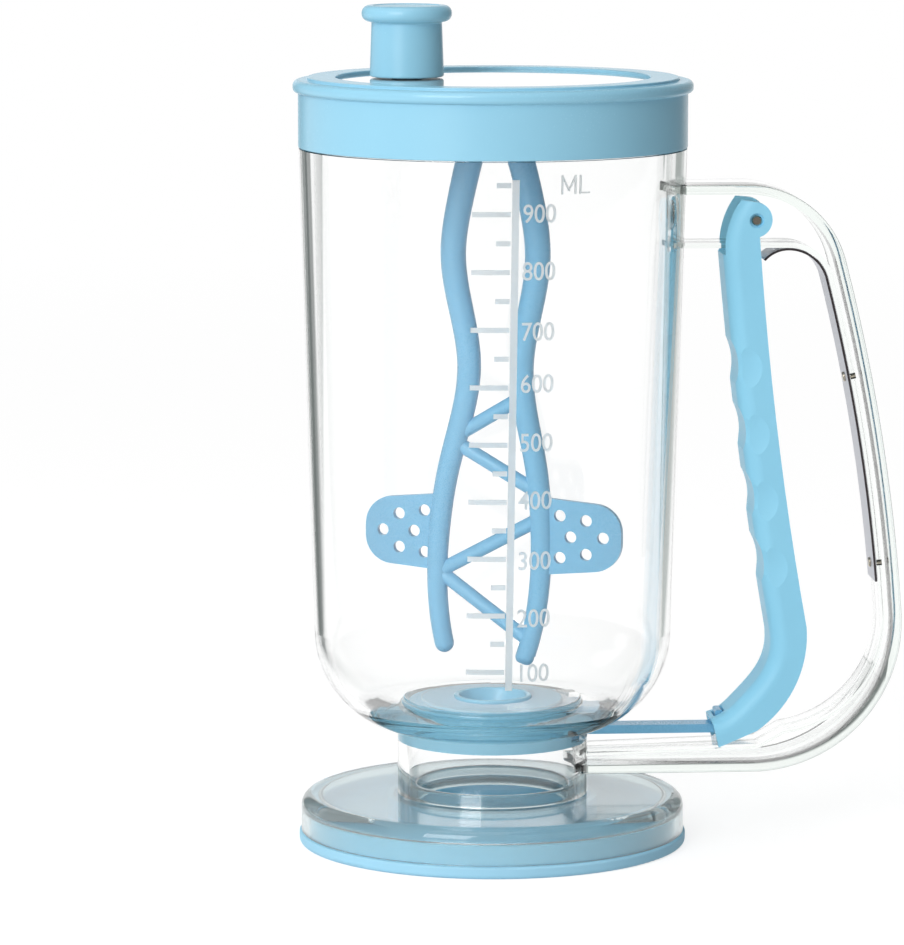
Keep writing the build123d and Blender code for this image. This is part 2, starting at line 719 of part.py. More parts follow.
# ---------------------------------------------------------------- shutter
def shutter_plate():
    """Sliding gate with a flat arm whose turned-up end the lever pulls."""
    bottom = shutter_top - shutter_thickness
    length = shutter_rear + shutter_front
    plate = Pos((shutter_front - shutter_rear) / 2, 0) * Rectangle(length, shutter_width)
    plate = fillet(plate.vertices(), shutter_corner)
    arm_start = shutter_front - shutter_corner
    arm_end = lug_x + lug_thickness / 2
    arm = Pos((arm_start + arm_end) / 2, 0) * Rectangle(arm_end - arm_start, shutter_arm_width)
    flat = extrude(Plane.XY.offset(bottom) * (plate + arm), shutter_thickness)
    lug = Pos(lug_x, 0, (bottom + lug_top) / 2) * Box(lug_thickness, shutter_arm_width, lug_top - bottom)
    lug = fillet(lug.edges().filter_by(Axis.Y).group_by(Axis.Z)[-1], lug_round)
    return flat + lug


# ---------------------------------------------------------------- lid
def lid_ring():
    """Lid: skirt over the jar's neck, rolled bead, flat ring and the deck with its bearing."""
    deck_low = deck_top - lid_deck
    plug = neck_bore - plug_slack
    bead_top = bead_bottom + bead_height
    bore = spindle_radius + fit_gap
    sleeve = bore + bearing_wall
    points = [(skirt_bore, skirt_bottom), (skirt_radius, skirt_bottom), (skirt_radius, bead_bottom),
              (bead_radius, bead_bottom), (bead_radius, bead_top), (ring_outer_radius, bead_top),
              (ring_outer_radius, ring_top), (ring_inner_radius, ring_top),
              (ring_inner_radius, deck_top), (bore, deck_top), (bore, bearing_bottom),
              (sleeve, bearing_bottom), (sleeve, deck_low), (plug, deck_low),
              (plug, deck_bottom), (skirt_bore, deck_bottom)]
    radii = [0.3, 0.3, 0.2, 1.15, 1.5, 0.2, 0.3, 0.4, 0, 0, 0.3, 0.3, 1.0, 0.3, 0.3, 0.3]
    return turned(points, radii)


def lid_seal():
    """Soft gasket under the lid that seals on the jar's rim."""
    inner = neck_bore - seal_overhang
    outer = skirt_bore - bond_gap
    top = deck_bottom - bond_gap
    return turned([(inner, seal_bottom), (outer, seal_bottom), (outer, top), (inner, top)], 0.25)


# ---------------------------------------------------------------- crank and stirrer
def crank_disc():
    """Turning disc in the lid's recess that carries the knob off centre."""
    disc = turned([(0, disc_bottom), (disc_radius, disc_bottom), (disc_radius, disc_top), (0, disc_top)],
                  [0, 0.5, 0.7, 0])
    disc -= rod((0, 0, disc_bottom - 1), (0, 0, disc_bottom + spindle_flange),
                spindle_flange_radius + bond_gap)
    spigot = rod((0, 0, disc_bottom - 1), (0, 0, disc_top + 1), post_spigot_radius)
    return disc - on_knob_axis(spigot)


def crank_spindle():
    """Spindle bonded under the disc, with a square end that drives the stirrer."""
    flange = rod((0, 0, disc_bottom), (0, 0, disc_bottom + spindle_flange - bond_gap), spindle_flange_radius)
    shaft = rod((0, 0, hub_top), (0, 0, disc_bottom + 0.1), spindle_radius)
    square = Pos(0, 0, hub_top - drive_length / 2 + 0.05) * Box(drive_square, drive_square, drive_length + 0.1)
    hole_top = hub_top + drive_screw_reach + screw_tip_room
    screw = rod((0, 0, hub_bottom), (0, 0, hole_top), drive_screw_radius)
    return Rot(0, 0, stirrer_azimuth) * (flange + shaft + square - screw)


def spindle_seal():
    """Soft washer between the stirrer's hub and the lid's bearing."""
    return tube(hub_radius, spindle_radius + fit_gap, hub_top + 0.02, washer_top)


def stirrer_screw():
    """Pan-head screw that holds the stirrer on the spindle."""
    head = rod((0, 0, hub_bottom - drive_screw_head), (0, 0, hub_bottom - 0.02), drive_screw_head_radius)
    head = fillet(head.edges().sort_by(Axis.Z)[:1], 1.0)
    return head + rod((0, 0, hub_bottom - 0.5), (0, 0, hub_top + drive_screw_reach), drive_screw_radius)


def stirrer_z(share):
    """Height at a share of the way from the longer leg's end to the hub."""
    low = jar_floor + stirrer_clearance
    return low + share * (hub_bottom - low)


def leg(places):
    """One wavy leg, tapered from hub to foot, with a rounded end."""
    path = Spline(*[(u, 0, stirrer_z(share)) for u, share in places])
    top = Plane(origin=path @ 0, z_dir=path % 0) * Circle(leg_radius_top)
    foot = Plane(origin=path @ 1, z_dir=path % 1) * Circle(leg_radius_foot)
    return sweep([top, foot], path=path, multisection=True) + Pos(*(path @ 1)) * Sphere(leg_radius_foot)


def blade(side):
    """Perforated paddle, wide at the leg and rounded at its tip."""
    outline = Polyline((blade_root_u, -blade_root_half), (blade_tip_u, -blade_tip_half),
                       (blade_tip_u, blade_tip_half), (blade_root_u, blade_root_half), close=True)
    face = make_face(outline)
    face = fillet(face.vertices().sort_by(Axis.X)[2:], blade_round)
    for u, lift in blade_holes:
        face -= Pos(u, lift) * Circle(blade_hole_radius)
    solid = side_plate(Pos(0, stirrer_z(blade_share)) * face, blade_thickness)
    return solid if side > 0 else mirror(solid, about=Plane.YZ)


def stirrer():
    """Stirrer moulded in one piece: square-socketed hub, wavy legs, zigzag struts, paddles."""
    hub = rod((0, 0, hub_bottom), (0, 0, hub_top), hub_radius)
    hub = fillet(hub.edges().sort_by(Axis.Z)[:1], 1.2)
    body = hub
    for side, places in ((-1, leg_left), (1, leg_right)):
        body += leg(places)
        body += blade(side)
    for left_u, left_share, right_u, right_share in struts:
        body += rod((left_u, 0, stirrer_z(left_share)), (right_u, 0, stirrer_z(right_share)), strut_radius)
    socket = drive_square + 2 * bond_gap
    body -= Pos(0, 0, hub_top - drive_length / 2) * Box(socket, socket, drive_length + 2 * bond_gap)
    body -= rod((0, 0, hub_bottom - 1), (0, 0, hub_top), drive_screw_radius + bond_gap)
    body -= rod((0, 0, hub_bottom - drive_screw_head - running_gap), (0, 0, hub_bottom),
                drive_screw_head_radius + running_gap)
    return Rot(0, 0, stirrer_azimuth) * body


# ---------------------------------------------------------------- knob
def knob_post():
    """Post fixed in the disc that the knob spins on."""
    top = knob_shoulder - 2.2 * knob_screw_head
    post = rod((0, 0, disc_top), (0, 0, top), post_radius)
    post += rod((0, 0, disc_bottom + 0.4), (0, 0, disc_top + 0.1), post_spigot_radius)
    post -= rod((0, 0, top - knob_screw_length - screw_tip_room), (0, 0, top), knob_screw_radius)
    return on_knob_axis(post)


def knob_screw():
    """Large-headed screw that keeps the knob on its post."""
    post_top = knob_shoulder - 2.2 * knob_screw_head
    head = rod((0, 0, post_top), (0, 0, post_top + knob_screw_head), knob_screw_head_radius)
    head = fillet(head.edges().sort_by(Axis.Z)[-1:], 0.8)
    shank = rod((0, 0, post_top - knob_screw_length), (0, 0, post_top + 0.5), knob_screw_radius)
    return on_knob_axis(head + shank)


def crank_knob():
    """Hollow knob with a rolled rim at its top."""
    post_top = knob_shoulder - 2.2 * knob_screw_head
    bore = post_radius + fit_gap
    chamber = knob_screw_head_radius + 0.8
    cap_seat = knob_cap_radius + bond_gap
    points = [(bore, knob_bottom), (knob_radius, knob_bottom), (knob_neck_radius, knob_neck_z),
              (knob_rim_radius, knob_neck_z + 0.4), (knob_rim_radius, knob_top), (cap_seat, knob_top),
              (cap_seat, knob_shoulder), (chamber, knob_shoulder), (chamber, post_top - running_gap),
              (bore, post_top - running_gap)]
    round_rim = 0.46 * knob_rim_height
    return on_knob_axis(turned(points, [0, 0.6, 0.5, round_rim, round_rim, 0.5, 0, 0, 0.5, 0]))


def knob_cap():
    """Dished cap that closes the knob."""
    bottom = knob_shoulder + bond_gap
    return on_knob_axis(turned([(0, bottom), (knob_cap_radius, bottom),
                                (knob_cap_radius, bottom + knob_cap_thickness),
                                (0, bottom + knob_cap_thickness - 0.5)], [0, 0.2, 0.4, 0]))


# ---------------------------------------------------------------- write one STEP per piece
PIECES = (stand_foot_ring, stand_pan, stand_cover,
          jar_body, outlet_funnel, outlet_seal, shutter_guide, handle_frame, leaf_spring, spring_rivets,
          lever_pivot_pin, squeeze_lever, shutter_plate,
          lid_ring, lid_seal,
          crank_disc, crank_spindle, spindle_seal, stirrer, stirrer_screw, knob_post, knob_screw,
          crank_knob, knob_cap)

os.makedirs("parts", exist_ok=True)
for piece in PIECES:
    export_step(piece(), f"parts/{piece.__name__}.step")
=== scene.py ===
from math import asin, cos, radians, sin, sqrt

import bmesh
import bpy
from mathutils import Matrix, Vector


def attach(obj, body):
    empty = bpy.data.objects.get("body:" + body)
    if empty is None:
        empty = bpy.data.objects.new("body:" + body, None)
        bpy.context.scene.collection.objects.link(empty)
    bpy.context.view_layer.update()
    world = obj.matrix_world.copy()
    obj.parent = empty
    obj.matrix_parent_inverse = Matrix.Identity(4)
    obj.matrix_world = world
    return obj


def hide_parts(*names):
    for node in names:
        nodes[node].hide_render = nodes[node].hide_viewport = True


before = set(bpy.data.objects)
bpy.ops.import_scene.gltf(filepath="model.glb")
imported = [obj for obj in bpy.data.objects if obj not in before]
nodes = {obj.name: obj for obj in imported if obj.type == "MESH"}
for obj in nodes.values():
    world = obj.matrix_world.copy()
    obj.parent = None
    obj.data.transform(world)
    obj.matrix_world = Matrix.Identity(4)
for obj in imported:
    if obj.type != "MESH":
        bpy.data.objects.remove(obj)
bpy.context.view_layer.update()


# ---------------------------------------------------------------- foot ring
# Soft light blue elastomer ring under the stand. It is moulded, keyed into the pan's underside
# by a rib, and has the dull skin of a part that came out of a spark-eroded mould.
class Wire:
    """A shader socket that works in sums: wire * 0.5 + 1 adds the Math nodes."""

    def __init__(self, finish, socket):
        self.finish = finish
        self.socket = socket

    def maths(self, operation, first, second):
        return self.finish.node("ShaderNodeMath", {"operation": operation}, {0: first, 1: second})

    def __add__(self, other):
        return self.maths("ADD", self, other)

    def __mul__(self, other):
        return self.maths("MULTIPLY", self, other)

    def __sub__(self, other):
        return self.maths("SUBTRACT", self, other)

    def __rsub__(self, other):
        return self.maths("SUBTRACT", other, self)

    __radd__ = __add__
    __rmul__ = __mul__


class Finish:
    """A node tree being built. node() adds any node and returns one of its outputs as a Wire."""

    def __init__(self, name, tree=None):
        if tree is None:
            self.material = bpy.data.materials.new(name)
            self.material.use_nodes = True
            tree = self.material.node_tree
        self.tree = tree
        self.tree.nodes.clear()

    def node(self, kind, settings=None, sockets=None, output=0):
        node = self.tree.nodes.new(kind)
        for key, value in (settings or {}).items():
            setattr(node, key, value)
        for key, value in (sockets or {}).items():
            if isinstance(value, Wire):
                self.tree.links.new(value.socket, node.inputs[key])
            else:
                node.inputs[key].default_value = value
        return Wire(self, node.outputs[output])

    def place(self):
        """The surface's own position, in metres."""
        return self.node("ShaderNodeTexCoord", output="Object")

    def noise(self, size, detail=2.0):
        """Soft noise from 0 to 1 with blotches of about this size in metres."""
        return self.node("ShaderNodeTexNoise", {}, {
            "Vector": self.place(), "Scale": 1 / size, "Detail": detail})

    def blend(self, share, first, second):
        """Mix of two colours."""
        return self.node("ShaderNodeMix", {"data_type": "RGBA"}, {0: share, 6: first, 7: second}, 2)

    def bump(self, height, depth, strength=1.0):
        return self.node("ShaderNodeBump", {}, {"Strength": strength, "Distance": depth, "Height": height})

    def output(self, shader, inside=None):
        """Finish the material with its surface and, for clear plastic, what its inside takes up."""
        out = self.tree.nodes.new("ShaderNodeOutputMaterial")
        self.tree.links.new(shader.socket, out.inputs["Surface"])
        if inside:
            self.tree.links.new(inside.socket, out.inputs["Volume"])
        return self.material


def grey(level):
    return (level, level, level, 1.0)


def tint(red, green, blue):
    """Linear colour from a screen colour with parts from 0 to 255."""
    linear = []
    for part in (red / 255, green / 255, blue / 255):
        linear.append(part / 12.92 if part <= 0.04045 else ((part + 0.055) / 1.055) ** 2.4)
    return (*linear, 1.0)


def dress(node_name, material):
    """Give a CAD node its finish."""
    for slot in nodes[node_name].material_slots:
        slot.material = material


def soft_elastomer():
    finish = Finish("soft_elastomer")
    colour = finish.blend(finish.noise(0.018), tint(162, 217, 243), tint(170, 223, 247))
    skin = finish.noise(0.0005, 3.0)
    shader = finish.node("ShaderNodeBsdfPrincipled", {}, {
        "Base Color": colour,
        "Roughness": 0.50 + 0.12 * skin,
        "IOR": 1.45,
        "Normal": finish.bump(skin, 0.00002, 0.5),
    })
    return finish.output(shader)


dress("stand_foot_ring", soft_elastomer())


# ---------------------------------------------------------------- pan
# Light blue drip pan, injection moulded and left with a silky gloss, with faint flow clouds
# in its colour. The same plastic makes the lid, the spindle, the knob with its post and cap,
# the funnel and the shutter guide.
def moulded_plastic(name, light, dark, roughness, shine=0.5):
    """Coloured plastic with faint flow clouds, silky skin and slight ripple."""
    finish = Finish(name)
    clouds = finish.noise(0.03, 3.0)
    ripple = finish.noise(0.006, 1.0)
    skin = finish.noise(0.0004, 2.0)
    shader = finish.node("ShaderNodeBsdfPrincipled", {}, {
        "Base Color": finish.blend(clouds, dark, light),
        "Roughness": roughness + 0.10 * skin + 0.06 * clouds,
        "IOR": 1.49,
        "Specular IOR Level": shine,
        "Normal": finish.bump(ripple + 0.15 * skin, 0.00006, 0.35),
    })
    return finish.output(shader)


blue = moulded_plastic("blue_moulded_plastic", tint(158, 216, 240), tint(150, 209, 235), roughness=0.17)
for piece in ("stand_pan", "lid_ring", "crank_spindle", "knob_post", "crank_knob", "knob_cap"):
    dress(piece, blue)


# ---------------------------------------------------------------- jar, cover and handle
# Clear styrene-acrylonitrile, polished in the mould and faintly green through its depth. The jar
# and the loop handle are bonded with solvent. The cover, which snaps over the pan, is a bit hazed.
mould_wave = 0.000004


def let_lamps_through(finish, plastic, lamp_colour, inside=None):
    """Finish a clear material whose shadow stays light, so that lamps reach what is behind it."""
    lamps = finish.node("ShaderNodeBsdfTransparent", {}, {"Color": lamp_colour})
    ray = finish.node("ShaderNodeLightPath", output="Is Shadow Ray")
    return finish.output(finish.node("ShaderNodeMixShader", {}, {0: ray, 1: plastic, 2: lamps}), inside)


def clear_plastic(name, roughness, green, density, milk=grey(1.0), clarity=1.0):
    """Polished clear plastic with mould waves, hairline scuffs and a tint that deepens inside."""
    finish = Finish(name)
    scuff = finish.noise(0.0015, 4.0)
    plastic = finish.node("ShaderNodeBsdfPrincipled", {}, {
        "Base Color": milk,
        "Roughness": roughness * (0.7 + 0.6 * scuff),
        "IOR": 1.53,
        "Transmission Weight": clarity,
        "Normal": finish.bump(finish.noise(0.012, 1.0), mould_wave),
    })
    inside = finish.node("ShaderNodeVolumeAbsorption", {}, {"Color": green, "Density": density})
    return let_lamps_through(finish, plastic, (0.90, 0.915, 0.91, 1.0), inside)


dress("jar_body", clear_plastic(
    "clear_plastic", roughness=0.012, green=(0.40, 0.65, 0.52, 1.0), density=3.5))
dress("stand_cover", clear_plastic(
    "hazed_clear_plastic", roughness=0.06, green=(0.55, 0.66, 0.64, 1.0), density=8.0,
    milk=tint(226, 238, 240), clarity=0.91))


seam = 0.000001                      # corners this close together are one corner
sharp_edge = radians(28)


def mesh_of(name, shape):
    """Mesh of a shape that was worked on face by face."""
    mesh = bpy.data.meshes.new(name)
    shape.to_mesh(mesh)
    shape.free()
    return mesh


def placed(name, data):
    """A new object in the scene that shows this mesh or curve, or is this lamp or camera."""
    thing = bpy.data.objects.new(name, data)
    bpy.context.scene.collection.objects.link(thing)
    return thing


def closed_copy(name, node_name, material, reach=0.0):
    """A piece of the jar with its seams closed and its skin moved out by the reach."""
    shape = bmesh.new()
    shape.from_mesh(nodes[node_name].data)
    bmesh.ops.remove_doubles(shape, verts=shape.verts, dist=seam)
    shape.normal_update()
    for vertex in shape.verts:
        vertex.co += vertex.normal * reach
    mesh = mesh_of(name, shape)
    for own_normals in [layer for layer in mesh.attributes if layer.name == "custom_normal"]:
        mesh.attributes.remove(own_normals)
    mesh.shade_smooth()
    mesh.set_sharp_from_angle(angle=sharp_edge)
    mesh.materials.clear()
    mesh.materials.append(material)
    piece = placed(name, mesh)
    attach(piece, "jar")
    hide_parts(node_name)


handle_plastic = clear_plastic(
    "clear_handle_plastic", roughness=0.045, green=(0.36, 0.62, 0.45, 1.0), density=8.0)
closed_copy("clear_handle", "handle_frame", handle_plastic)


# ---------------------------------------------------------------- volume scale
# Raised scale on the jar's front wall: a long bar, a mark for every 50 ml and the numbers,
# moulded with the jar and left matt by the etched mould, so that it reads against the batter.
jar_heel_z = 0.0572                  # height where the side wall starts
jar_heel_arc = 0.0272
jar_low_radius = 0.0474
jar_top_radius = 0.0511
jar_shoulder_z = 0.1852
scale_facing = radians(-94.0)        # azimuth that the scale's positions are counted from
scale_relief = 0.0004
scale_sink = 0.0001                  # how deep the relief runs into the wall
mark_top_z = 0.1720                  # mark for the largest volume
mark_pitch = 0.0148                  # between marks of 100 ml
mark_height = 0.0013
long_mark = (-0.0053, 0.0045)        # from and to, along the wall
short_mark = (0.0008, 0.0045)
bar_span = (0.0048, 0.0066)
bar_heights = (0.0486, 0.1808)
number_x = 0.0118
number_height = 0.0047
number_squeeze = 0.86
number_heights = (0.0530, 0.0674, 0.0824, 0.0981, 0.1131, 0.1283, 0.1417, 0.1572, 0.1719)
scale_lean = 0.0129                  # the scale leans this share to the left, downwards
scale_lean_top = 0.198               # height where the lean starts


def wall_radius(height):
    """Outside radius of the jar at a height."""
    if height < jar_heel_z:
        drop = jar_heel_z - height
        return jar_low_radius - jar_heel_arc + sqrt(jar_heel_arc ** 2 - drop ** 2)
    rise = (height - jar_heel_z) / (jar_shoulder_z - jar_heel_z)
    return jar_low_radius + rise * (jar_top_radius - jar_low_radius)


def wrap_on_wall(mesh):
    """Bend a flat relief, X along the wall, Z up and -Y out of it, round the jar."""
    for vertex in mesh.vertices:
        out, height = -vertex.co.y, vertex.co.z
        along = vertex.co.x - (scale_lean_top - height) * scale_lean
        radius = wall_radius(height)
        angle = scale_facing + asin(along / radius)
        reach = radius - scale_sink + out
        vertex.co = (reach * cos(angle), reach * sin(angle), height)
    mesh.update()


def mark_tree():
    """Geometry Nodes: a ladder of marks, every second one long, beside a bar."""
    tree = bpy.data.node_groups.new("volume_marks", "GeometryNodeTree")
    lengths = ("Top", "Pitch", "Mark height", "Long from", "Short from", "Mark to",
               "Bar from", "Bar to", "Bar low", "Bar high", "Relief")
    sizes = {"Count": "NodeSocketInt", **{name: "NodeSocketFloat" for name in lengths},
             "Material": "NodeSocketMaterial"}
    for name, kind in sizes.items():
        tree.interface.new_socket(name, in_out="INPUT", socket_type=kind)
    tree.interface.new_socket("Geometry", in_out="OUTPUT", socket_type="NodeSocketGeometry")
    work = Finish("", tree)
    given = tree.nodes.new("NodeGroupInput")
    size = {name: Wire(work, given.outputs[name]) for name in sizes}

    def block(low_x, high_x, height, columns, rows):
        """Block from low_x to high_x that stands out of the wall by the relief."""
        depth = size["Relief"]
        extent = work.node("ShaderNodeCombineXYZ", {}, {0: high_x - low_x, 1: depth, 2: height})
        cube = work.node("GeometryNodeMeshCube", {}, {
            "Size": extent, "Vertices X": columns, "Vertices Y": 2, "Vertices Z": rows})
        shift = work.node("ShaderNodeCombineXYZ", {}, {0: (low_x + high_x) * 0.5, 1: depth * -0.5})
        return work.node("GeometryNodeTransform", {}, {"Geometry": cube, "Translation": shift})

    def ladder(mark, top):
        """The mark repeated downwards, one to a number."""
        start = work.node("ShaderNodeCombineXYZ", {}, {2: top})
        step = work.node("ShaderNodeCombineXYZ", {}, {2: size["Pitch"] * -1.0})
        line = work.node("GeometryNodeMeshLine", {}, {
            "Count": size["Count"], "Start Location": start, "Offset": step})
        return work.node("GeometryNodeInstanceOnPoints", {}, {"Points": line, "Instance": mark})

    long_block = block(size["Long from"], size["Mark to"], size["Mark height"], columns=12, rows=2)
    short_block = block(size["Short from"], size["Mark to"], size["Mark height"], columns=5, rows=2)
    bar_length = size["Bar high"] - size["Bar low"]
    bar_middle = work.node("ShaderNodeCombineXYZ", {}, {2: (size["Bar high"] + size["Bar low"]) * 0.5})
    bar = block(size["Bar from"], size["Bar to"], bar_length, columns=3, rows=90)
    bar = work.node("GeometryNodeTransform", {}, {"Geometry": bar, "Translation": bar_middle})
    half = size["Pitch"] * 0.5
    joined = tree.nodes.new("GeometryNodeJoinGeometry")
    for part in (ladder(long_block, size["Top"]), ladder(short_block, size["Top"] + half), bar):
        tree.links.new(part.socket, joined.inputs[0])
    real = work.node("GeometryNodeRealizeInstances", {}, {0: Wire(work, joined.outputs[0])})
    done = work.node("GeometryNodeSetMaterial", {}, {"Geometry": real, "Material": size["Material"]})
    tree.links.new(done.socket, tree.nodes.new("NodeGroupOutput").inputs[0])
    return tree


def grown(name, tree, values):
    """Mesh that a Geometry Nodes tree makes from named inputs, as a plain object."""
    maker = placed(name, bpy.data.meshes.new(name))
    modifier = maker.modifiers.new("grow", "NODES")
    modifier.node_group = tree
    names = {item.name: item.identifier for item in tree.interface.items_tree if item.in_out == "INPUT"}
    for key, value in values.items():
        modifier[names[key]] = value
    graph = bpy.context.evaluated_depsgraph_get()
    mesh = bpy.data.meshes.new_from_object(maker.evaluated_get(graph))
    maker.modifiers.remove(modifier)
    maker.data = mesh
    return maker


def etched_plastic():
    """The jar's plastic with an etched, light-scattering skin."""
    finish = Finish("etched_clear_plastic")
    skin = finish.noise(0.0003, 3.0)
    plastic = finish.node("ShaderNodeBsdfPrincipled", {}, {
        "Base Color": (0.97, 0.99, 0.99, 1.0),
        "Roughness": 0.42 + 0.15 * skin,
        "IOR": 1.5,
        "Transmission Weight": 0.88,
        "Normal": finish.bump(skin, 0.00002, 0.4),
    })
    return let_lamps_through(finish, plastic, (0.9, 0.92, 0.92, 1.0))


etched = etched_plastic()
marks = grown("scale_marks", mark_tree(), {
    "Count": len(number_heights), "Top": mark_top_z, "Pitch": mark_pitch, "Mark height": mark_height,
    "Long from": long_mark[0], "Short from": short_mark[0], "Mark to": long_mark[1],
    "Bar from": bar_span[0], "Bar to": bar_span[1], "Bar low": bar_heights[0], "Bar high": bar_heights[1],
    "Relief": scale_relief, "Material": etched})
wrap_on_wall(marks.data)


def relief_piece(name, shape):
    """A flat relief that is wrapped on the wall, as a piece of its own."""
    mesh = mesh_of(name, shape)
    mesh.materials.append(etched)
    wrap_on_wall(mesh)
    return placed(name, mesh)


digit_share = 0.7                    # height of a digit, as a share of the type's size
stroke_swell = 0.00002               # makes the strokes of the digits a little bolder


def raised_words(name, lines):
    """One mesh of raised words. Each line is its text, its middle along the wall and its height."""
    gathered = bmesh.new()
    for text, middle, height in lines:
        curve = bpy.data.curves.new(text, "FONT")
        curve.body = text
        curve.align_x = "CENTER"
        curve.align_y = "CENTER"
        curve.size = number_height / digit_share
        curve.extrude = scale_relief / 2
        curve.offset = stroke_swell
        curve.resolution_u = 6
        word = placed(text, curve)
        bpy.context.view_layer.update()
        mesh = bpy.data.meshes.new_from_object(word.evaluated_get(bpy.context.evaluated_depsgraph_get()))
        turn = Matrix.Rotation(radians(90), 4, "X") @ Matrix.Diagonal((number_squeeze, 1, 1, 1))
        mesh.transform(Matrix.Translation((middle, -scale_relief / 2, height)) @ turn)
        gathered.from_mesh(mesh)
        bpy.data.objects.remove(word)
        bpy.data.meshes.remove(mesh)
    bmesh.ops.remove_doubles(gathered, verts=gathered.verts, dist=seam)
    return relief_piece(name, gathered)


numbers = raised_words("scale_numbers", [
    (str(100 * place), number_x, height) for place, height in enumerate(number_heights, 1)])

unit_strokes = (                     # M and L, each stroke from (x, z) to (x, z) along the wall
    (0.01748, 0.1772, 0.01748, 0.1815), (0.01748, 0.1815, 0.01917, 0.1780),
    (0.01917, 0.1780, 0.02086, 0.1815), (0.02086, 0.1815, 0.02086, 0.1772),
    (0.02212, 0.1815, 0.02212, 0.1772), (0.02212, 0.1772, 0.02430, 0.1772))
stroke_width = 0.0005


def stroked(name, strokes):
    """Letters made of straight bars with square ends."""
    shape = bmesh.new()
    for from_x, from_z, to_x, to_z in strokes:
        start, end = Vector((from_x, 0, from_z)), Vector((to_x, 0, to_z))
        run = end - start
        turn = run.to_track_quat("X", "Y").to_matrix().to_4x4()
        size = Matrix.Diagonal((run.length + stroke_width, scale_relief, stroke_width, 1))
        place = Matrix.Translation((start + end) / 2 - Vector((0, scale_relief / 2, 0)))
        bmesh.ops.create_cube(shape, size=1.0, matrix=place @ turn @ size)
    return relief_piece(name, shape)


unit = stroked("scale_unit", unit_strokes)
for piece in (marks, numbers, unit):
    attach(piece, "jar")


# ---------------------------------------------------------------- outlet funnel and shutter guide
# Light blue mouldings that are welded into the clear floor and collar with solvent, so that
# there is no air between them and the clear plastic, and their colour fills it.
bond_reach = 0.00012                 # how far the weld has run into the clear plastic
for piece in ("outlet_funnel", "shutter_guide"):
    closed_copy("welded_" + piece, piece, blue, bond_reach)


# ---------------------------------------------------------------- squeeze lever
# Hollow light blue lever with four finger rests, in the lid's plastic but with a duller skin, so that it
# doesn't slip in wet fingers. Its colour is painted lighter than the lid's, as painted light for how the
# lamps fall on it. It turns on the pin at its eye.
# Painted light: this blue is lighter than the lid's plastic, which the lever is made of.
dress("squeeze_lever", moulded_plastic(
    "lever_plastic_painted_lighter", tint(156, 223, 250), tint(149, 216, 245), roughness=0.28, shine=0.22))


# ---------------------------------------------------------------- stirrer and shutter plate
# The stirrer with its two wavy legs and perforated paddles, and the sliding shutter plate. Both are the
# lid's plastic, given a deeper blue as painted shade for the shade they stand in.
# Painted shade: this blue is darker than the lid's plastic, which these parts are made of.
painted_shade_blue = moulded_plastic(
    "painted_shade_blue_moulded_plastic", tint(120, 185, 220), tint(113, 178, 215), roughness=0.2)
for piece in ("stirrer", "shutter_plate"):
    dress(piece, painted_shade_blue)


# ---------------------------------------------------------------- seals
# Translucent white silicone rings: outlet wiper, lid gasket and the washer on the spindle.
# They are compression moulded and have a faint haze.
def silicone_rubber():
    finish = Finish("silicone_rubber")
    haze = finish.noise(0.004, 3.0)
    shader = finish.node("ShaderNodeBsdfPrincipled", {}, {
        "Base Color": finish.blend(haze, tint(226, 233, 233), tint(238, 242, 242)),
        "Roughness": 0.42 + 0.15 * haze,
        "IOR": 1.41,
        "Normal": finish.bump(finish.noise(0.0006), 0.00002, 0.4),
    })
    return finish.output(shader)


silicone = silicone_rubber()
for piece in ("outlet_seal", "lid_seal", "spindle_seal"):
    dress(piece, silicone)


# ---------------------------------------------------------------- leaf spring, rivets, pin and screws
# The return spring is rolled spring steel, grey with fine lines along its length. The rivets,
# the pivot pin and the screws are turned stainless steel.
steel_grain = 1 / 9000               # size of the steel's fine texture
grain_depth = 0.000006


def steel_texture(finish, stretch):
    """Fine texture, drawn out along Z where the stretch is below 1."""
    stretched = finish.node("ShaderNodeMapping", {}, {"Vector": finish.place(), "Scale": (1, 1, stretch)})
    return finish.node("ShaderNodeTexNoise", {}, {
        "Vector": stretched, "Scale": 1 / steel_grain, "Detail": 2.0})


def turned_stainless():
    """Bright steel with a fine even texture."""
    finish = Finish("turned_stainless")
    grain = steel_texture(finish, 1)
    shader = finish.node("ShaderNodeBsdfPrincipled", {}, {
        "Base Color": finish.blend(grain, tint(170, 160, 142), tint(205, 197, 182)),
        "Metallic": 1.0,
        "Roughness": 0.16 + 0.14 * grain,
        "Normal": finish.bump(grain, grain_depth, 0.4),
    })
    return finish.output(shader)


def rolled_spring_steel():
    """Bright rolled faces with long lines, and cut edges that are dark with scale."""
    finish = Finish("rolled_spring_steel")
    grain = steel_texture(finish, 0.04)
    facing = finish.node("ShaderNodeNewGeometry", output="Normal")
    facing = finish.node("ShaderNodeSeparateXYZ", {}, {0: facing}, "Y")
    edge = facing.maths("GREATER_THAN", facing * facing, 0.5)
    faces = finish.blend(grain, tint(196, 197, 204), tint(222, 223, 228))
    shader = finish.node("ShaderNodeBsdfPrincipled", {}, {
        "Base Color": finish.blend(edge, faces, tint(66, 60, 62)),
        "Metallic": 1.0 - edge * 0.6,
        "Roughness": 0.34 + 0.14 * grain,
        "Normal": finish.bump(grain, grain_depth, 0.4),
    })
    return finish.output(shader)


dress("leaf_spring", rolled_spring_steel())
bright = turned_stainless()
for piece in ("spring_rivets", "lever_pivot_pin", "stirrer_screw", "knob_screw"):
    dress(piece, bright)


